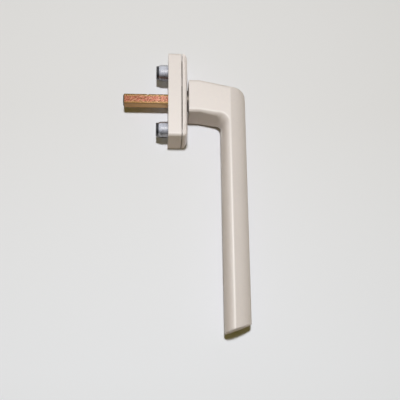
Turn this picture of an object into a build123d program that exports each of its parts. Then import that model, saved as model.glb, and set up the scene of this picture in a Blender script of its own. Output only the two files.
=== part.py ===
"""Patio door lever handle on a slim rosette, for a 7 mm square spindle.

Millimetres. The handle is in its own frame, as it sits on a door with the lever hanging down.
The origin is the centre of the spindle in the plane of the door face.
+Z is up, +X is to the right as seen from the room, and the spindle points along +Y into the door.
Depths are measured from the door face towards the room, so a depth d lies at Y = -d.
"""
import os
from math import acos, cos, hypot, radians, sin, sqrt, tan

from build123d import *

# Rosette: a cast base and a cover plate with a shadow gap between them
rosette_width = 26.0
rosette_height = 61.5
rosette_corner = 2.0
base_depth = 9.1
shadow_gap = 0.5
cover_thickness = 3.45
cover_edge_round = 2.9
cover_edge_reach = 4.3
cover_back_round = 0.4
cover_wall = 1.5
base_edge_round = 0.45
base_front_wall = 2.5
least_inner_corner = 0.6

# Steel plate that closes the base from behind
plate_thickness = 1.2
plate_rim = 2.0
plate_fit = 0.1
plate_lug_clearance = 0.4
plate_shank_clearance = 0.5

# Fixing lugs: slit clamp sleeves that a cone nut spreads in the door frame
lug_spacing = 43.0
sleeve_diameter = 11.2
sleeve_spigot = 9.8
sleeve_reach = 6.3
sleeve_seat = 2.6
sleeve_bore = 7.2
sleeve_slit = 1.1
slit_start = 0.8
sleeve_lip_length = 1.3
sleeve_lip_drop = 0.45
nose_diameter = 9.6
nose_length = 1.95
nose_round = 0.7
cone_length = 4.0
cone_clearance = 0.05

# Fixing screws, M5 with a countersunk head
screw_diameter = 5.0
screw_head = 9.2
screw_hole_clearance = 0.25
screw_end_setback = 0.6
screw_tip_chamfer = 0.5
drive_across = 3.0
drive_depth = 2.2

# Square spindle
spindle_size = 7.0
spindle_reach = 31.0
spindle_depth = 15.6
spindle_chamfer = 0.9
spindle_clearance = 0.06
spindle_nick_reach = 14.0
spindle_nick_radius = 0.9
spindle_nick_depth = 0.5

# Lever neck: a journal in the bush and a thinner shank for the index cam
neck_diameter = 15.0
shank_diameter = 12.0
shank_flats = 10.6
shank_end_depth = 0.4
running_clearance = 0.06
handle_gap = 0.95

# Parts on the neck, from the back
ring_thickness = 1.0
ring_groove_depth = 0.55
ring_width = 2.4
ring_gap = 5.0
ring_play = 0.1
ring_fit = 0.05
ring_to_plate = 0.2
cam_across_flats = 16.0
cam_corner_radius = 9.8
washer_thickness = 0.7
washer_diameter = 19.0
bush_wall = 1.5
bush_flange_diameter = 21.5
bush_flange_thickness = 0.8
pin_diameter = 2.5
pin_setback = 0.2
pin_chamfer = 0.25

# Leaf springs that press on the flats of the cam
leaf_thickness = 0.5
leaf_length = 27.0
leaf_end_support = 2.4
leaf_side_play = 0.15
leaf_bend_room = 0.2

# Guide ring in the hole of the cover
guide_wall = 1.4
guide_flange = 1.3
guide_flange_thickness = 1.0
guide_clearance = 0.1
guide_fit = 0.05

# Small countersunk screws of the back plate
plate_screw_diameter = 2.5
plate_screw_head = 4.2
plate_screw_length = 6.0
plate_screw_slot = 0.6
plate_screw_inset_x = 2.8
plate_screw_inset_z = 2.8

# Cover feet: pads that stand on the base and keep the shadow gap
foot_diameter = 4.0
foot_inset = 4.2

# Lever: a square root, an arm that leans down, a tight elbow and an egg shaped grip
lever_width = 24.0
arm_height = 23.8
arm_centre_drop = 0.4
arm_level_length = 7.2
arm_slope = 11.5
arm_corner = 2.2
root_edge_round = 0.7
elbow_inner_radius = 5.0
elbow_outer_radius = 6.0
grip_inner_depth = 36.65
grip_thickness = 17.25
grip_ridge = 5.4
grip_flat = 1.2
grip_side_flat = 0.6
grip_front_start = 30.0
grip_front_flat = 1.6
grip_tip_drop = 160.4
grip_end_slope = 19.0
grip_end_round = 0.5
elbow_sections = 14
elbow_start_share = 0.25
neck_sink = 1.0

# Depths that follow from the sizes above
cover_back = base_depth + shadow_gap
cover_front = cover_back + cover_thickness
cover_inside = cover_front - cover_wall
lever_root = cover_front + handle_gap
base_floor = base_depth - base_front_wall
washer_back = base_floor - washer_thickness
ring_back = plate_thickness + ring_to_plate
cam_back = ring_back + ring_thickness + ring_play
cam_thickness = washer_back - running_clearance - cam_back
sleeve_root = plate_thickness + sleeve_seat


def from_room(depth):
    """The plane at a depth, with X to the right and Z up; extrusions run towards the room."""
    return Plane.XZ.offset(depth)


def slab(sketch, back, front):
    """A sketch in X and Z made solid between two depths."""
    return extrude(from_room(back) * sketch, front - back)


def disc(radius, back, front, x=0.0, z=0.0):
    return slab(Pos(x, z) * Circle(radius), back, front)


def cone(back_radius, front_radius, back, front, x=0.0, z=0.0):
    back_face = from_room(back) * Pos(x, z) * Circle(back_radius)
    front_face = from_room(front) * Pos(x, z) * Circle(front_radius)
    return loft([back_face, front_face], ruled=True)


def rosette_outline(inset=0.0):
    corner = max(rosette_corner - inset, least_inner_corner)
    return RectangleRounded(rosette_width - 2 * inset, rosette_height - 2 * inset, corner)


lug_places = {"upper": lug_spacing / 2, "lower": -lug_spacing / 2}
plate_screw_places = [
    (side * (rosette_width / 2 - plate_rim - plate_screw_inset_x),
     end * (rosette_height / 2 - plate_rim - plate_screw_inset_z))
    for side in (-1, 1)
    for end in (-1, 1)
]


# Base casting of the rosette: bored for the neck, pocketed for the cam and its springs
def make_rosette_body():
    body = slab(rosette_outline(), 0, base_depth)
    front_edges = body.faces().sort_by(Axis.Y)[0].edges()
    body = fillet(front_edges, base_edge_round)
    body -= slab(rosette_outline(plate_rim), 0, plate_thickness)
    cam_room = cam_corner_radius + leaf_thickness + leaf_bend_room
    leaf_slot = cam_across_flats / 2 + leaf_thickness
    pocket_end = leaf_length / 2 + leaf_side_play
    body -= slab(Rectangle(2 * cam_room, leaf_length - 2 * leaf_end_support), plate_thickness, base_floor)
    body -= slab(Rectangle(2 * leaf_slot, 2 * pocket_end), plate_thickness, base_floor)
    body -= disc(neck_diameter / 2 + running_clearance + bush_wall, base_floor, base_depth)
    for z in lug_places.values():
        body -= disc(sleeve_spigot / 2, plate_thickness, sleeve_root, z=z)
        body -= disc(screw_diameter / 2 + screw_hole_clearance, sleeve_root, base_depth, z=z)
        body -= screw_head_solid(z)
    for x, z in plate_screw_places:
        body -= disc(plate_screw_diameter / 2, plate_thickness, plate_screw_length, x, z)
    return body


def screw_head_solid(z):
    head_height = (screw_head - screw_diameter) / 2
    return cone(screw_diameter / 2, screw_head / 2, base_depth - head_height, base_depth, z=z)


def make_back_plate():
    outline = rosette_outline(plate_rim + plate_fit)
    plate = slab(outline, 0, plate_thickness)
    plate -= disc(shank_diameter / 2 + plate_shank_clearance, 0, plate_thickness)
    for z in lug_places.values():
        plate -= disc(sleeve_diameter / 2 + plate_lug_clearance, 0, plate_thickness, z=z)
    for x, z in plate_screw_places:
        plate -= cone(plate_screw_head / 2, plate_screw_diameter / 2, 0, plate_thickness, x, z)
    return plate


def make_back_plate_screws():
    screws = []
    for x, z in plate_screw_places:
        screw = cone(plate_screw_head / 2, plate_screw_diameter / 2, 0, plate_thickness, x, z)
        screw += disc(plate_screw_diameter / 2, plate_thickness, plate_screw_length, x, z)
        slot = slab(Pos(x, z) * Rectangle(plate_screw_head, plate_screw_slot), 0, plate_screw_slot)
        screws.append(screw - slot)
    return Compound(children=screws)


# Clamp sleeve: a spigot pressed into the base and a slit barrel with a tapered lip that goes into the door
def make_clamp_sleeve(z):
    radius = sleeve_diameter / 2
    lip_start = sleeve_lip_length - sleeve_reach
    sleeve = disc(radius, lip_start, 0, z=z)
    sleeve += cone(radius - sleeve_lip_drop, radius, -sleeve_reach, lip_start, z=z)
    sleeve += disc(sleeve_spigot / 2, 0, sleeve_root, z=z)
    sleeve -= disc(sleeve_bore / 2, -sleeve_reach, sleeve_root, z=z)
    sleeve -= cone(nose_diameter / 2, sleeve_bore / 2, -sleeve_reach, cone_length - sleeve_reach, z=z)
    slit_side = 1 if z > 0 else -1
    slit = Pos(0, z + slit_side * sleeve_diameter / 2) * Rectangle(sleeve_slit, sleeve_diameter)
    return sleeve - slab(slit, -sleeve_reach, -slit_start)


def make_cone_nut(z):
    nut = disc(nose_diameter / 2, -sleeve_reach - nose_length, -sleeve_reach, z=z)
    nut = fillet(nut.faces().sort_by(Axis.Y)[-1].edges(), nose_round)
    wide = nose_diameter / 2 - cone_clearance
    narrow = sleeve_bore / 2 - cone_clearance
    nut += cone(wide, narrow, -sleeve_reach, cone_length - sleeve_reach, z=z)
    return nut - disc(screw_diameter / 2, -sleeve_reach - nose_length, cone_length - sleeve_reach, z=z)


def make_fixing_screw(z):
    tip = screw_end_setback - sleeve_reach - nose_length
    screw = disc(screw_diameter / 2, tip, base_depth, z=z)
    screw = chamfer(screw.faces().sort_by(Axis.Y)[-1].edges(), screw_tip_chamfer)
    screw += screw_head_solid(z)
    drive = Pos(0, z) * RegularPolygon(drive_across / 2, 6, major_radius=False)
    return screw - slab(drive, base_depth - drive_depth, base_depth)


# Cover plate: a shallow shell that hides the screws and can be turned aside
def make_cover_plate():
    cover = cover_shell()
    cover = fillet(cover.faces().sort_by(Axis.Y)[-1].edges(), cover_back_round)
    cover -= slab(rosette_outline(cover_wall), cover_back, cover_inside)
    for side in (-1, 1):
        for end in (-1, 1):
            x = side * (rosette_width / 2 - foot_inset)
            z = end * (rosette_height / 2 - foot_inset)
            cover += disc(foot_diameter / 2, base_depth, cover_inside, x, z)
    return cover - disc(guide_outer_radius() + guide_fit, cover_inside, cover_front)


def cover_shell():
    """A slab whose front edge is an elliptical rounding: a round one, made narrow and then stretched."""
    stretch = cover_edge_reach / cover_edge_round
    narrow = RectangleRounded(rosette_width / stretch, rosette_height / stretch, rosette_corner / stretch)
    shell = slab(narrow, cover_back, cover_front)
    shell = fillet(shell.faces().sort_by(Axis.Y)[0].edges(), cover_edge_round)
    return scale(shell, by=(stretch, 1, stretch))


def guide_outer_radius():
    return neck_diameter / 2 + guide_clearance + guide_wall


def make_neck_ring():
    outer = guide_outer_radius()
    back = cover_inside - guide_flange_thickness
    ring = disc(outer, back, cover_front)
    ring += disc(outer + guide_flange, back, cover_inside)
    return ring - disc(neck_diameter / 2 + guide_clearance, back, cover_front)


# Parts on the neck
def make_bearing_bush():
    inner = neck_diameter / 2 + running_clearance
    bush = disc(inner + bush_wall, base_floor, base_depth)
    bush += disc(bush_flange_diameter / 2, base_depth, base_depth + bush_flange_thickness)
    return bush - disc(inner, base_floor, base_depth + bush_flange_thickness)


def make_thrust_washer():
    washer = disc(washer_diameter / 2, washer_back, base_floor)
    return washer - disc(shank_diameter / 2 + running_clearance, washer_back, base_floor)


def shank_outline(clearance=0.0):
    radius = shank_diameter / 2 + clearance
    return Circle(radius) & Rectangle(2 * radius, shank_flats + 2 * clearance)


def make_index_cam():
    outline = Rectangle(cam_across_flats, cam_across_flats) & Circle(cam_corner_radius)
    cam = slab(outline, cam_back, cam_back + cam_thickness)
    return cam - slab(shank_outline(running_clearance / 2), cam_back, cam_back + cam_thickness)


def make_retaining_ring():
    inner = shank_diameter / 2 - ring_groove_depth + ring_fit
    ring = slab(Circle(inner + ring_width) - Circle(inner), ring_back, ring_back + ring_thickness)
    gap = Pos(0, -inner - ring_width / 2) * Rectangle(ring_gap, 2 * ring_width)
    return ring - slab(gap, ring_back, ring_back + ring_thickness)


def make_index_leaf(side):
    inner_face = cam_across_flats / 2
    centre = side * (inner_face + leaf_thickness / 2)
    play = leaf_side_play
    leaf = Pos(centre, 0) * Rectangle(leaf_thickness, leaf_length)
    return slab(leaf, cam_back, cam_back + cam_thickness - play)


def make_square_spindle():
    spindle = slab(Rectangle(spindle_size, spindle_size), -spindle_reach, spindle_depth)
    ends = spindle.faces().sort_by(Axis.Y)
    spindle = chamfer(ends[-1].edges() + ends[0].edges(), spindle_chamfer)
    nick_centre = spindle_size / 2 + spindle_nick_radius - spindle_nick_depth
    nick = Pos(-spindle_size / 2, spindle_nick_reach, nick_centre) * Sphere(spindle_nick_radius)
    spindle -= nick
    return spindle - pin_solid(shank_diameter)


def pin_depth():
    return cam_back + cam_thickness / 2


def pin_solid(length):
    return Pos(0, -pin_depth(), 0) * Rot(0, 90, 0) * Cylinder(pin_diameter / 2, length)


def make_spindle_pin():
    pin = pin_solid(shank_diameter - 2 * pin_setback)
    return chamfer(pin.edges().filter_by(GeomType.CIRCLE), pin_chamfer)


# Lever casting. Points of its side view are (depth, Z)
slope = radians(arm_slope)
arm_top_start = (lever_root + arm_level_length, arm_height / 2 - arm_centre_drop)
arm_under_start = (lever_root + arm_level_length, -arm_height / 2 - arm_centre_drop)
grip_outer_depth = grip_inner_depth + grip_thickness
ridge_depth = grip_inner_depth + grip_ridge + grip_side_flat


def arm_line_z(start, depth):
    return start[1] - (depth - start[0]) * tan(slope)


elbow_turn = radians(90 - arm_slope)
inner_tangent = elbow_inner_radius * tan(elbow_turn / 2)
inner_corner_z = arm_line_z(arm_under_start, grip_inner_depth)
inner_centre = (grip_inner_depth - elbow_inner_radius, inner_corner_z - inner_tangent)
outer_tangent = elbow_outer_radius * tan(elbow_turn / 2)
outer_corner_z = arm_line_z(arm_top_start, grip_outer_depth)
outer_centre = (grip_outer_depth - elbow_outer_radius, outer_corner_z - outer_tangent)


def outer_hit(angle):
    """Distance from the elbow's inner centre to the outer outline, at an angle from straight out."""
    out, up = cos(angle), sin(angle)
    to_front = (grip_outer_depth - inner_centre[0]) / out
    top_here = arm_line_z(arm_top_start, inner_centre[0]) - inner_centre[1]
    to_top = top_here / (up + out * tan(slope))
    reach = min(to_front, to_top)
    hit = (inner_centre[0] + reach * out, inner_centre[1] + reach * up)
    arc_start_depth = outer_centre[0] + elbow_outer_radius * sin(slope)
    on_arc = hit[0] > arc_start_depth and hit[1] > outer_centre[1]
    if not on_arc:
        return reach
    along = (outer_centre[0] - inner_centre[0]) * out + (outer_centre[1] - inner_centre[1]) * up
    aside = (outer_centre[0] - inner_centre[0]) * up - (outer_centre[1] - inner_centre[1]) * out
    return along + sqrt(elbow_outer_radius ** 2 - aside ** 2)


def blend(share, start, end):
    smooth = share * share * (3 - 2 * share)
    return start + (end - start) * smooth


def lever_section(inner, outer, inner_corner=(arm_corner, arm_corner)):
    """A closed section from the door side to the room side. A corner is given as its width and depth."""
    across = hypot(outer[0] - inner[0], outer[1] - inner[1])
    direction = Vector(0, -(outer[0] - inner[0]) / across, (outer[1] - inner[1]) / across)
    plane = Plane(origin=(0, -inner[0], inner[1]), x_dir=(1, 0, 0), z_dir=Vector(1, 0, 0).cross(direction))
    half = lever_width / 2
    wide_in, deep_in = inner_corner
    flat_in = half - wide_in
    flat_out = half - arm_corner
    side_out = across - arm_corner
    outline = [
        Line((-flat_in, 0), (flat_in, 0)),
        EllipticalCenterArc((flat_in, deep_in), wide_in, deep_in, start_angle=270, arc_size=90),
        Line((half, deep_in), (half, side_out)),
        CenterArc((flat_out, side_out), arm_corner, start_angle=0, arc_size=90),
        Line((flat_out, across), (-flat_out, across)),
        CenterArc((-flat_out, side_out), arm_corner, start_angle=90, arc_size=90),
        Line((-half, side_out), (-half, deep_in)),
        EllipticalCenterArc((-flat_in, deep_in), wide_in, deep_in, start_angle=180, arc_size=90),
    ]
    return plane * make_face(outline)


def inner_corner_at(share):
    """Corner towards the door; share runs from the arm, 0, to the grip, 1."""
    across = blend(share, arm_corner, lever_width / 2 - grip_flat / 2)
    return across, blend(share, arm_corner, grip_ridge)


def elbow_section(share):
    """The section where a plane through the elbow's inner centre cuts the lever."""
    angle = (1 - share) * elbow_turn
    reach = outer_hit(angle)
    inner = (inner_centre[0] + elbow_inner_radius * cos(angle),
             inner_centre[1] + elbow_inner_radius * sin(angle))
    outer = (inner_centre[0] + reach * cos(angle), inner_centre[1] + reach * sin(angle))
    inner_share = elbow_start_share + (1 - elbow_start_share) * share
    return lever_section(inner, outer, inner_corner_at(inner_share))


def make_lever():
    root = lever_section((lever_root, arm_under_start[1]), (lever_root, arm_top_start[1]))
    level_end = lever_section(arm_under_start, arm_top_start)
    elbow = [elbow_section(step / elbow_sections) for step in range(elbow_sections + 1)]
    lever = loft([root, level_end], ruled=True)
    lever += loft([level_end, elbow[0]], ruled=True)
    lever += loft(elbow)
    grip_length = grip_tip_drop + inner_centre[1]
    lever += extrude(elbow[-1], dir=(0, 0, -1), amount=grip_length)
    lever -= front_stock() + end_cut()
    end_face = lever.faces().sort_by(Axis.Z)[0]
    lever = fillet(end_face.edges(), grip_end_round)
    root_face = lever.faces().sort_by(Axis.Y)[-1]
    lever = fillet(root_face.edges(), root_edge_round)
    return lever + make_neck() - neck_socket()


def front_stock():
    """The stock in front of the grip's rounded face, which runs from the ridges up to the arm's top."""
    start = radians(grip_front_start)
    half_across = lever_width / 2 / cos(start)
    end = acos(grip_front_flat / 2 / half_across)
    half_deep = (grip_outer_depth - ridge_depth) / (sin(end) - sin(start))
    block = Pos(0, -grip_outer_depth) * Rectangle(2 * lever_width, 2 * grip_thickness)
    round_face = Pos(0, half_deep * sin(start) - ridge_depth) * Ellipse(half_across, half_deep)
    return extrude(Pos(0, 0, -2 * grip_tip_drop) * (block - round_face), amount=3 * grip_tip_drop)


def end_cut():
    """The stock beyond the slanted end of the grip."""
    rise = grip_thickness * tan(radians(grip_end_slope))
    side_view = Polyline(
        (0, -grip_inner_depth, -grip_tip_drop),
        (0, -grip_outer_depth, -grip_tip_drop + rise),
        (0, -grip_outer_depth, -2 * grip_tip_drop),
        (0, -grip_inner_depth, -2 * grip_tip_drop),
        close=True,
    )
    return extrude(make_face(side_view), amount=lever_width, both=True)


def make_neck():
    neck = disc(neck_diameter / 2, base_floor, lever_root + neck_sink)
    neck += slab(shank_outline(), shank_end_depth, base_floor)
    groove = slab(Circle(shank_diameter / 2) - Circle(shank_diameter / 2 - ring_groove_depth),
                  ring_back, ring_back + ring_thickness + ring_play)
    return neck - groove


def neck_socket():
    width = spindle_size + 2 * spindle_clearance
    socket = slab(Rectangle(width, width), shank_end_depth, spindle_depth + spindle_clearance)
    return socket + pin_solid(shank_diameter)


if __name__ == "__main__":
    os.makedirs("parts", exist_ok=True)
    nodes = {
        "rosette_body": make_rosette_body(),
        "back_plate": make_back_plate(),
        "back_plate_screws": make_back_plate_screws(),
        "bearing_bush": make_bearing_bush(),
        "thrust_washer": make_thrust_washer(),
        "left_index_leaf": make_index_leaf(-1),
        "right_index_leaf": make_index_leaf(1),
        "cover_plate": make_cover_plate(),
        "neck_ring": make_neck_ring(),
        "lever": make_lever(),
        "index_cam": make_index_cam(),
        "retaining_ring": make_retaining_ring(),
        "square_spindle": make_square_spindle(),
        "spindle_pin": make_spindle_pin(),
    }
    for place, z in lug_places.items():
        nodes[f"{place}_clamp_sleeve"] = make_clamp_sleeve(z)
        nodes[f"{place}_cone_nut"] = make_cone_nut(z)
        nodes[f"{place}_fixing_screw"] = make_fixing_screw(z)
    for name, solid in nodes.items():
        export_step(solid, f"parts/{name}.step")
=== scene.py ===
"""Looks of a patio door lever handle with a slim rosette, lying on a pale table top as photographed.

Metres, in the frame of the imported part: the origin is the centre of the spindle in the plane of the
door face, +Z is up, +X is to the right as seen from the room, and the spindle points along +Y.
"""
import math

import bmesh
import bpy
from mathutils import Matrix, Vector


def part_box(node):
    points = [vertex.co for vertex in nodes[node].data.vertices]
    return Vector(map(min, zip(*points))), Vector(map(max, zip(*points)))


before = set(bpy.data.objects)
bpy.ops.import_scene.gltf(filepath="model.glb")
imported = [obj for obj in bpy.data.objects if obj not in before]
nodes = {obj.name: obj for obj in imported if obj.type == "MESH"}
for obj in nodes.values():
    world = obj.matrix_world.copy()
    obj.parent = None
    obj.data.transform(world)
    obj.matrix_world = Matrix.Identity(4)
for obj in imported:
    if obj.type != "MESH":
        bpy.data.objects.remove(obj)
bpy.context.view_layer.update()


# Table top. The handle lies with the long side of its rosette on a plain pale table. The top is clear from
# behind and casts no shadow, so that the handle can be seen and lit from there. Rays that bounce between
# things see a duller top, so that it throws little light on the undersides. What the camera sees is painted a
# little lighter and bluer toward the grip, as painted light.
room_under_rosette = 0.00005
table_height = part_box("rosette_body")[1].x + room_under_rosette
table_half = 0.7
table_in_painted_dim_light = (0.706, 0.726, 0.782, 1)
table_in_painted_bright_light = (0.764, 0.800, 0.890, 1)
table_for_bounces = (0.50, 0.425, 0.365, 1)
painted_light_from = 0.0
painted_light_to = -0.18


def new_object(name, mesh_in_progress):
    """A finished bmesh as an object at the origin."""
    mesh = bpy.data.meshes.new(name)
    mesh_in_progress.to_mesh(mesh)
    mesh_in_progress.free()
    made = bpy.data.objects.new(name, mesh)
    bpy.context.scene.collection.objects.link(made)
    return made


def new_material(name):
    """A material with its node tree and its Principled BSDF."""
    material = bpy.data.materials.new(name)
    material.use_nodes = True
    return material, material.node_tree, material.node_tree.nodes["Principled BSDF"]


def feed(tree, socket, value):
    """Link another node's output to a socket, or give the socket a plain value."""
    if isinstance(value, bpy.types.NodeSocket):
        tree.links.new(value, socket)
    else:
        socket.default_value = value


def add(tree, kind, inputs=None, **settings):
    """A new node with its settings. Each input is a plain value or another node's output."""
    node = tree.nodes.new(kind)
    for key, value in settings.items():
        setattr(node, key, value)
    for key, value in (inputs or {}).items():
        feed(tree, node.inputs[key], value)
    return node


def calculate(tree, operation, *values):
    """The result of a Math node."""
    return add(tree, "ShaderNodeMath", dict(enumerate(values)), operation=operation).outputs[0]


def spread(tree, value, low, high, to_low=0.0, to_high=1.0):
    """A value stretched from one range to another and held inside it."""
    return add(tree, "ShaderNodeMapRange", {"Value": value, "From Min": low, "From Max": high,
                                            "To Min": to_low, "To Max": to_high}).outputs["Result"]


def mix_colours(tree, share, first, second, blend="MIX"):
    """Two colours mixed. The node's sockets for colours are its inputs 6 and 7 and its output 2."""
    sockets = {0: share, 6: first, 7: second}
    return add(tree, "ShaderNodeMix", sockets, data_type="RGBA", blend_type=blend).outputs[2]


def place_on(tree):
    """The place on the piece, in the frame of the part."""
    return add(tree, "ShaderNodeTexCoord").outputs["Object"]


def place_along(tree, axis):
    """The place on the piece along one axis of that frame."""
    return add(tree, "ShaderNodeSeparateXYZ", {"Vector": place_on(tree)}).outputs[axis]


def mirror_or_camera(tree):
    """1 for what the camera sees directly, in a mirror or through glass, and 0 for other bounces."""
    path = add(tree, "ShaderNodeLightPath").outputs
    direct = calculate(tree, "MAXIMUM", path["Is Camera Ray"], path["Is Glossy Ray"])
    return calculate(tree, "MAXIMUM", direct, path["Is Transmission Ray"])


table_mesh = bmesh.new()
bmesh.ops.create_grid(table_mesh, x_segments=1, y_segments=1, size=table_half)
bmesh.ops.rotate(table_mesh, verts=table_mesh.verts, matrix=Matrix.Rotation(-math.pi / 2, 3, "Y"))
bmesh.ops.translate(table_mesh, verts=table_mesh.verts, vec=(table_height, 0, 0))
table = new_object("table_top", table_mesh)

table_finish, tree, shader = new_material("pale_table_top")
# Painted light: the top is painted lighter and bluer down the table toward the grip.
painted_light_down_table = spread(tree, place_along(tree, "Z"), painted_light_from, painted_light_to)
seen_colour_with_painted_light = mix_colours(tree, painted_light_down_table, table_in_painted_dim_light, table_in_painted_bright_light)
feed(tree, shader.inputs["Base Color"],
     mix_colours(tree, mirror_or_camera(tree), table_for_bounces, seen_colour_with_painted_light))
shader.inputs["Roughness"].default_value = 0.6
shader.inputs["Specular IOR Level"].default_value = 0.0
from_behind = add(tree, "ShaderNodeNewGeometry").outputs["Backfacing"]
clear = add(tree, "ShaderNodeBsdfTransparent").outputs["BSDF"]
sides = add(tree, "ShaderNodeMixShader", {0: from_behind, 1: shader.outputs["BSDF"], 2: clear})
feed(tree, tree.nodes["Material Output"].inputs["Surface"], sides.outputs["Shader"])
table.data.materials.append(table_finish)
table.visible_shadow = False


# Camera. It looks down on the table from the left of the handle, about half a metre away.
# Its place was worked out from the spindle, the lugs and the straight edges of the rosette and grip.
camera_place = Vector((-0.44763, 0.00891, -0.20695))
camera_aim = Vector((0.0130, -0.02258, -0.06777))
camera_roll = math.radians(-0.6)
photo_width = 400
focal_pixels = 700
sensor_width = 36

camera_data = bpy.data.cameras.new("photo_camera")
camera_data.sensor_width = sensor_width
camera_data.lens = focal_pixels / photo_width * sensor_width
camera = bpy.data.objects.new("photo_camera", camera_data)
camera.location = camera_place
look = (camera_aim - camera_place).to_track_quat("-Z", "Y")
camera.rotation_mode = "QUATERNION"
camera.rotation_quaternion = look @ Matrix.Rotation(camera_roll, 3, "Z").to_quaternion()
bpy.context.scene.collection.objects.link(camera)
bpy.context.scene.camera = camera


# Lamps. A small one hangs a metre above the handle, two are seen only as a shine on the coat, and a weak one
# lights the cover alone from the front. Three beyond the table light the handle for views from there. Their
# light doesn't bounce, so that none of it comes round the handle to the table.
handle_middle = Vector((0, -0.02, -0.06))
above_handle = (-1.05, 0.03, 0.0)
above_rosette = (-1.05, 0.02, 0.15)
before_cover = (-0.35, -1.0, 0.12)
beyond_table = (0.83, -0.04, 0.48)
beyond_and_before = (0.70, -0.48, 0.45)
beyond_and_behind = (0.70, 0.48, 0.45)
near_white = (1.0, 0.99, 0.98)
white = (1.0, 1.0, 1.0)
warm_white = (1.0, 0.97, 0.94)
wide_lamp = 0.4


def add_lamp(name, place, size, power, colour):
    """A round lamp, turned to the middle of the handle, that the camera doesn't see."""
    data = bpy.data.lights.new(name, "AREA")
    data.shape = "DISK"
    data.size = size
    data.energy = power
    data.color = colour
    lamp = bpy.data.objects.new(name, data)
    lamp.location = place
    lamp.rotation_mode = "QUATERNION"
    lamp.rotation_quaternion = (handle_middle - Vector(place)).to_track_quat("-Z", "Y")
    lamp.visible_camera = False
    bpy.context.scene.collection.objects.link(lamp)
    return lamp


def lit_pieces(label, names):
    """A collection of CAD nodes for a lamp that lights them alone. It isn't linked to the scene."""
    lit = bpy.data.collections.new(label)
    for name in names:
        lit.objects.link(nodes[name])
    return lit


key_lamp = add_lamp("key_lamp", above_handle, size=0.09, power=10.1, colour=near_white)
key_lamp.visible_glossy = False
coated_pieces = lit_pieces("coated_pieces", ("cover_plate", "rosette_body", "lever"))
for name, place, size, power in (("near_shine_lamp", above_rosette, 0.20, 9.5),
                                 ("far_shine_lamp", beyond_table, wide_lamp, 6.0)):
    lamp = add_lamp(name, place, size, power, white)
    lamp.visible_diffuse = False
    lamp.light_linking.receiver_collection = coated_pieces
cover_lamp = add_lamp("cover_lamp", before_cover, size=wide_lamp, power=2.4, colour=warm_white)
cover_lamp.light_linking.receiver_collection = lit_pieces("cover_alone", ("cover_plate",))
for name, place, power in (("far_side_lamp", beyond_table, 9.0), ("front_lamp", beyond_and_before, 2.0),
                           ("back_lamp", beyond_and_behind, 0.6)):
    lamp = add_lamp(name, place, wide_lamp, power, warm_white)
    lamp.visible_glossy = False
    lamp.data.cycles.max_bounces = 0


# Room. A dim warm glow fills the shadows. What shines shows a room that is pale overhead, with the glow of
# the lamp in it, and dark low down past the tip of the grip. Seen directly, it is a plain pale backdrop.
fill_colour = (1.0, 0.76, 0.10, 1)
fill_strength = 0.13
room_low_down = (0.035, 0.034, 0.032, 1)
room_overhead = (0.66, 0.67, 0.71, 1)
lamp_glow = (1.2, 1.18, 1.16, 1)
plain_backdrop = (0.78, 0.79, 0.79, 1)
overhead = (-0.64, 0.0, 0.77)
toward_key_lamp = (-0.997, 0.047, 0.057)
pale_from, pale_full = -0.6, 0.45
glow_from, glow_full = 0.970, 0.992


def facing(tree, direction):
    """How far a ray points in a direction: 1 along it, 0 square to it and -1 against it."""
    ray = add(tree, "ShaderNodeTexCoord").outputs["Generated"]
    return add(tree, "ShaderNodeVectorMath", {0: ray, 1: direction}, operation="DOT_PRODUCT").outputs["Value"]


world = bpy.data.worlds.new("pale_room")
bpy.context.scene.world = world
world.use_nodes = True
tree = world.node_tree
fill = tree.nodes["Background"]
fill.inputs["Color"].default_value = fill_colour
fill.inputs["Strength"].default_value = fill_strength
pale_part = spread(tree, facing(tree, overhead), pale_from, pale_full)
pale_room = mix_colours(tree, pale_part, room_low_down, room_overhead)
glowing_part = spread(tree, facing(tree, toward_key_lamp), glow_from, glow_full)
mirrored = mix_colours(tree, glowing_part, pale_room, lamp_glow)
seen_directly = add(tree, "ShaderNodeLightPath").outputs["Is Camera Ray"]
backdrop_colour = mix_colours(tree, seen_directly, mirrored, plain_backdrop)
backdrop = add(tree, "ShaderNodeBackground", {"Color": backdrop_colour, "Strength": 1.0})
room = add(tree, "ShaderNodeMixShader",
           {0: mirror_or_camera(tree), 1: fill.outputs["Background"], 2: backdrop.outputs["Background"]})
feed(tree, tree.nodes["World Output"].inputs["Surface"], room.outputs["Shader"])
bpy.context.scene.view_settings.view_transform = "Standard"


# Cover, base and lever. They are castings with one warm white coat, smooth and half glossy, which is a little
# duller in broad patches and has a fine orange peel. The neck of the lever, behind its root, is masked while
# it is coated and stays bare turned metal. Its colour is painted near black, as painted shade for the narrow
# gap between the cover and the root.
edge_softness = 0.0007
peel_height = 0.00003
cover_to_root = 0.00095
mask_set_back = 0.00002
coat_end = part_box("cover_plate")[0].y - cover_to_root + mask_set_back
rings_about_spindle = (0.05, 1.0, 0.05)


def new_mask_group(name, inputs):
    """A node group with inputs that have defaults, and with one mask as its output."""
    group = bpy.data.node_groups.new(name, "ShaderNodeTree")
    for label, default in inputs.items():
        kind = "NodeSocketVector" if isinstance(default, tuple) else "NodeSocketFloat"
        socket = group.interface.new_socket(label, in_out="INPUT", socket_type=kind)
        socket.default_value = default
    group.interface.new_socket("Mask", in_out="OUTPUT", socket_type="NodeSocketFloat")
    return group, group.nodes.new("NodeGroupInput").outputs, group.nodes.new("NodeGroupOutput").inputs


def mask(tree, group, **values):
    """The mask that a group puts out in a material, with plain values for its inputs."""
    return add(tree, "ShaderNodeGroup", values, node_tree=group).outputs["Mask"]


def stretched(tree, place, stretch):
    """A place scaled by a factor of its own along each axis."""
    return add(tree, "ShaderNodeVectorMath", {0: place, 1: stretch}, operation="MULTIPLY").outputs["Vector"]


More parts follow.
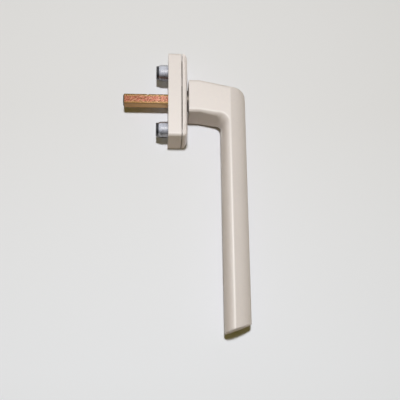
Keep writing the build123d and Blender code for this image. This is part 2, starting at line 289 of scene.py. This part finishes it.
patches, given, put_out = new_mask_group(
    "patches", {"Scale": 40.0, "Stretch": (1.0, 1.0, 1.0), "Low": 0.35, "High": 0.65})
cloud = add(patches, "ShaderNodeTexNoise", {"Vector": stretched(patches, place_on(patches), given["Stretch"]),
                                            "Scale": given["Scale"], "Detail": 4.0, "Roughness": 0.55})
feed(patches, put_out["Mask"], spread(patches, cloud.outputs["Fac"], given["Low"], given["High"]))


def bump(tree, height, depth, strength, normal=None):
    """A normal tilted by a height that spans a depth in metres."""
    node = add(tree, "ShaderNodeBump", {"Height": height, "Distance": depth, "Strength": strength})
    if normal is not None:
        feed(tree, node.inputs["Normal"], normal)
    return node.outputs["Normal"]


def dress(names, material):
    """A material on CAD nodes in place of their plain one."""
    for name in names:
        nodes[name].data.materials.clear()
        nodes[name].data.materials.append(material)


coat, tree, shader = new_material("warm_white_coat")
broad = mask(tree, patches, Scale=38.0, Low=0.38, High=0.62)
fine = mask(tree, patches, Scale=420.0, Low=0.3, High=0.7)
broad_colour = mix_colours(tree, broad, (0.640, 0.603, 0.612, 1), (0.655, 0.619, 0.628, 1))
feed(tree, shader.inputs["Base Color"], mix_colours(tree, fine, broad_colour, (0.664, 0.625, 0.624, 1)))
feed(tree, shader.inputs["Roughness"], spread(tree, broad, 0, 1, 0.38, 0.42))
shader.inputs["Specular IOR Level"].default_value = 0.45
peel = add(tree, "ShaderNodeTexNoise", {"Vector": place_on(tree), "Scale": 950.0,
                                        "Detail": 1.5}).outputs["Fac"]
soft_edges = add(tree, "ShaderNodeBevel", {"Radius": edge_softness}, samples=6).outputs["Normal"]
feed(tree, shader.inputs["Normal"], bump(tree, peel, peel_height, 0.5, soft_edges))
dress(("cover_plate", "rosette_body"), coat)

masked_coat = coat.copy()
masked_coat.name = "coat_masked_at_the_neck"
tree = masked_coat.node_tree
turned_rings = mask(tree, patches, Scale=2400.0, Stretch=rings_about_spindle, Low=0.3, High=0.7)
# The bare neck is painted near black: painted shade for the narrow gap between cover and root.
turned_neck_in_painted_shade = add(tree, "ShaderNodeBsdfPrincipled", {
    "Base Color": mix_colours(tree, turned_rings, (0.06, 0.05, 0.04, 1), (0.12, 0.105, 0.09, 1)),
    "Metallic": 1.0, "Specular Tint": (0.3, 0.28, 0.25, 1),
    "Roughness": spread(tree, turned_rings, 0, 1, 0.34, 0.44)})
bare = calculate(tree, "GREATER_THAN", place_along(tree, "Y"), coat_end)
finished = add(tree, "ShaderNodeMixShader", {0: bare, 1: tree.nodes["Principled BSDF"].outputs["BSDF"],
                                             2: turned_neck_in_painted_shade.outputs["BSDF"]})
feed(tree, tree.nodes["Material Output"].inputs["Surface"], finished.outputs["Shader"])
dress(("lever",), masked_coat)


# Square spindle. The steel bar is yellow passivated: a pink and gold film with dark specks and painted
# glints.
# The film is pinker and blotchy down the middle of the faces and golden toward the edges. The low face is
# golden and painted lighter, as painted light. The colour is darker toward the tip, and painted shade darkens
# the very edges and the tip.
half_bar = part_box("square_spindle")[1].z
bar_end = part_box("square_spindle")[1].y
gold_edge_from, gold_edge_full = 0.0023, -0.0001
gold_and_light_face_from, gold_and_light_face_full = 0.0013, 0.0001
edge_shade_from, edge_shade_full = 0.0006, 0.0001
dull_from, dull_full = 0.025, 0.001
tip_shade_from, tip_shade_full = 0.0011, 0.0007
streak_share = 0.55
speck_depth = 0.00004


def ramp(tree, value, stops):
    """A colour ramp over (position, colour) stops."""
    node = add(tree, "ShaderNodeValToRGB", {"Fac": value})
    elements = node.color_ramp.elements
    while len(elements) < len(stops):
        elements.new(1.0)
    for element, (position, colour) in zip(elements, stops):
        element.position = position
        element.color = colour
    return node.outputs["Color"]


def nearing(tree, place, limit, begins, full):
    """0 to 1 as a place nears a limit, between two distances before the limit."""
    return spread(tree, place, limit - begins, limit - full)


film, tree, shader = new_material("gold_and_pink_film")
axes = add(tree, "ShaderNodeSeparateXYZ", {"Vector": place_on(tree)}).outputs
aside = calculate(tree, "ABSOLUTE", axes["X"])
upright = calculate(tree, "ABSOLUTE", axes["Z"])
across = calculate(tree, "MINIMUM", aside, upright)
streaks = mask(tree, patches, Scale=900.0, Stretch=(1.0, 0.25, 1.0), Low=0.3, High=0.7)
specks = mask(tree, patches, Scale=1900.0, Stretch=(1.0, 0.6, 1.0), Low=0.40, High=0.60)
toward_edge = nearing(tree, across, half_bar, gold_edge_from, gold_edge_full)
toward_tip = nearing(tree, axes["Y"], bar_end, dull_from, dull_full)
toward_low_face = spread(tree, axes["Z"], gold_and_light_face_from - half_bar, gold_and_light_face_full - half_bar)
at_edge = nearing(tree, across, half_bar, edge_shade_from, edge_shade_full)
at_tip = nearing(tree, axes["Y"], bar_end, tip_shade_from, tip_shade_full)
wavering = calculate(tree, "MULTIPLY_ADD", streaks, streak_share, toward_edge)
film_colour = ramp(tree, wavering, [(0.10, (0.72, 0.20, 0.17, 1)), (0.52, (0.76, 0.28, 0.21, 1)),
                                    (0.82, (0.68, 0.40, 0.16, 1)), (1.0, (0.42, 0.30, 0.08, 1))])
# Painted glints: pale specks in the film's colour.
painted_glints = spread(tree, specks, 0.68, 0.95)
pits = spread(tree, specks, 0.22, 0.05)
with_painted_glints = mix_colours(tree, painted_glints, film_colour, (0.90, 0.58, 0.40, 1))
pitted = mix_colours(tree, pits, with_painted_glints, (0.22, 0.15, 0.06, 1))
# The low face is painted golden and lighter, partly its film and partly painted light.
golden_and_painted_lit_below = mix_colours(tree, toward_low_face, pitted, (0.70, 0.43, 0.19, 1))
duller = mix_colours(tree, toward_tip, golden_and_painted_lit_below, (0.66, 0.60, 0.50, 1), "MULTIPLY")
# Painted shade: dark lines at the edges and a near black tip.
edges_in_painted_shade = mix_colours(tree, at_edge, duller, (0.24, 0.20, 0.12, 1), "MULTIPLY")
feed(tree, shader.inputs["Base Color"], mix_colours(tree, at_tip, edges_in_painted_shade, (0.10, 0.09, 0.05, 1)))
shader.inputs["Metallic"].default_value = 0.35
shader.inputs["Specular IOR Level"].default_value = 0.3
feed(tree, shader.inputs["Roughness"], spread(tree, streaks, 0, 1, 0.42, 0.62))
feed(tree, shader.inputs["Normal"], bump(tree, specks, speck_depth, 0.6))
dress(("square_spindle",), film)


# Fixing lugs and the steel that closes the base. Sleeves, screws and plate are bright zinc, turned or rolled.
# The lugs are round about Y, so their marks run round them; on the plate the same rings read as stamping
# marks. Each sleeve is painted darker along its underside: painted shade for the dark reflection of its own
# shadow on the table.
lug_middle = sum(corner.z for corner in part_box("upper_clamp_sleeve")) / 2
shade_below_from = -0.0039
shade_below_full = -0.0050
wander_reach = 0.004
ring_depth = 0.00003

scratches, given, put_out = new_mask_group(
    "scratches", {"Scale": 120.0, "Stretch": (1.0, 1.0, 0.04), "Amount": 0.03})
place = place_on(scratches)
wander = add(scratches, "ShaderNodeTexNoise", {"Vector": place, "Scale": 30.0, "Detail": 2.0})
bent = add(scratches, "ShaderNodeVectorMath",
           {0: wander.outputs["Color"], 1: (wander_reach,) * 3, 2: place},
           operation="MULTIPLY_ADD").outputs["Vector"]
lines = add(scratches, "ShaderNodeTexVoronoi", {"Vector": stretched(scratches, bent, given["Stretch"]),
                                                "Scale": given["Scale"]}, feature="DISTANCE_TO_EDGE")
feed(scratches, put_out["Mask"],
     calculate(scratches, "LESS_THAN", lines.outputs["Distance"], given["Amount"]))

zinc, tree, shader = new_material("bright_zinc")
clouds = mask(tree, patches, Scale=260.0, Low=0.35, High=0.65)
rings = mask(tree, patches, Scale=2600.0, Stretch=rings_about_spindle, Low=0.3, High=0.7)
rubs = mask(tree, scratches, Scale=260.0, Stretch=(0.08, 1.0, 1.0), Amount=0.02)
cloudy = mix_colours(tree, clouds, (0.74, 0.75, 0.80, 1), (0.84, 0.85, 0.90, 1))
ringed = mix_colours(tree, rings, cloudy, (0.92, 0.93, 0.96, 1))
feed(tree, shader.inputs["Base Color"], mix_colours(tree, rubs, ringed, (0.60, 0.60, 0.64, 1)))
shader.inputs["Metallic"].default_value = 1.0
shader.inputs["Specular Tint"].default_value = (0.25, 0.25, 0.25, 1)
feed(tree, shader.inputs["Roughness"], spread(tree, clouds, 0, 1, 0.24, 0.36))
feed(tree, shader.inputs["Normal"], bump(tree, rings, ring_depth, 0.5))
dress(("back_plate", "back_plate_screws", "upper_fixing_screw", "lower_fixing_screw"), zinc)

zinc_shaded_below = zinc.copy()
zinc_shaded_below.name = "zinc_with_painted_shade_below"
tree = zinc_shaded_below.node_tree
shader = tree.nodes["Principled BSDF"]
zinc_colour_unshaded = shader.inputs["Base Color"].links[0].from_socket
# Painted shade: the zinc is darkened along the underside of each sleeve.
height = place_along(tree, "Z")
upper_or_lower = calculate(tree, "SIGN", height)
from_lug_middle = calculate(tree, "MULTIPLY_ADD", upper_or_lower, -lug_middle, height)
painted_shade_below = spread(tree, from_lug_middle, shade_below_from, shade_below_full)
feed(tree, shader.inputs["Base Color"], mix_colours(tree, painted_shade_below, zinc_colour_unshaded, (0.38, 0.37, 0.36, 1), "MULTIPLY"))
dress(("upper_clamp_sleeve", "lower_clamp_sleeve"), zinc_shaded_below)


# Cone nuts. They are steel, oiled black, nearly without colour, with turning rings and a soft shine.
# The screws pull them into the sleeves.
black_oxide, tree, shader = new_material("black_oxide")
rings = mask(tree, patches, Scale=2200.0, Stretch=rings_about_spindle, Low=0.3, High=0.7)
clouds = mask(tree, patches, Scale=500.0, Low=0.35, High=0.65)
dark = mix_colours(tree, clouds, (0.035, 0.034, 0.035, 1), (0.075, 0.073, 0.075, 1))
feed(tree, shader.inputs["Base Color"], mix_colours(tree, rings, dark, (0.16, 0.16, 0.165, 1)))
shader.inputs["Metallic"].default_value = 1.0
feed(tree, shader.inputs["Roughness"], spread(tree, clouds, 0, 1, 0.32, 0.44))
feed(tree, shader.inputs["Normal"], bump(tree, rings, ring_depth, 0.5))
dress(("upper_cone_nut", "lower_cone_nut"), black_oxide)


# Index mechanism inside the base. Cam, leaves, ring and pin are hardened steel, grey with a trace of oil.
# They are stamped, turned or ground, and fine rubs run up and down them.
hardened, tree, shader = new_material("hardened_steel")
clouds = mask(tree, patches, Scale=300.0, Low=0.3, High=0.7)
rubs = mask(tree, scratches, Scale=300.0, Stretch=(1.0, 1.0, 0.06), Amount=0.03)
grey = mix_colours(tree, clouds, (0.20, 0.19, 0.18, 1), (0.31, 0.30, 0.30, 1))
feed(tree, shader.inputs["Base Color"], mix_colours(tree, rubs, grey, (0.50, 0.50, 0.50, 1)))
shader.inputs["Metallic"].default_value = 1.0
feed(tree, shader.inputs["Roughness"], spread(tree, clouds, 0, 1, 0.28, 0.45))
dress(("index_cam", "left_index_leaf", "right_index_leaf", "retaining_ring", "spindle_pin"), hardened)


# Plastic rings. Bush, washer and the guide ring in the cover are black bearing plastic.
# It has a fine eroded skin from its mould and a slightly uneven colour.
skin_depth = 0.00002

plastic, tree, shader = new_material("black_plastic")
uneven = mask(tree, patches, Scale=180.0, Low=0.35, High=0.65)
skin = mask(tree, patches, Scale=2400.0, Low=0.3, High=0.7)
feed(tree, shader.inputs["Base Color"],
     mix_colours(tree, uneven, (0.016, 0.016, 0.017, 1), (0.026, 0.026, 0.027, 1)))
feed(tree, shader.inputs["Roughness"], spread(tree, skin, 0, 1, 0.45, 0.6))
shader.inputs["Specular IOR Level"].default_value = 0.3
feed(tree, shader.inputs["Normal"], bump(tree, skin, skin_depth, 0.6))
dress(("bearing_bush", "thrust_washer", "neck_ring"), plastic)
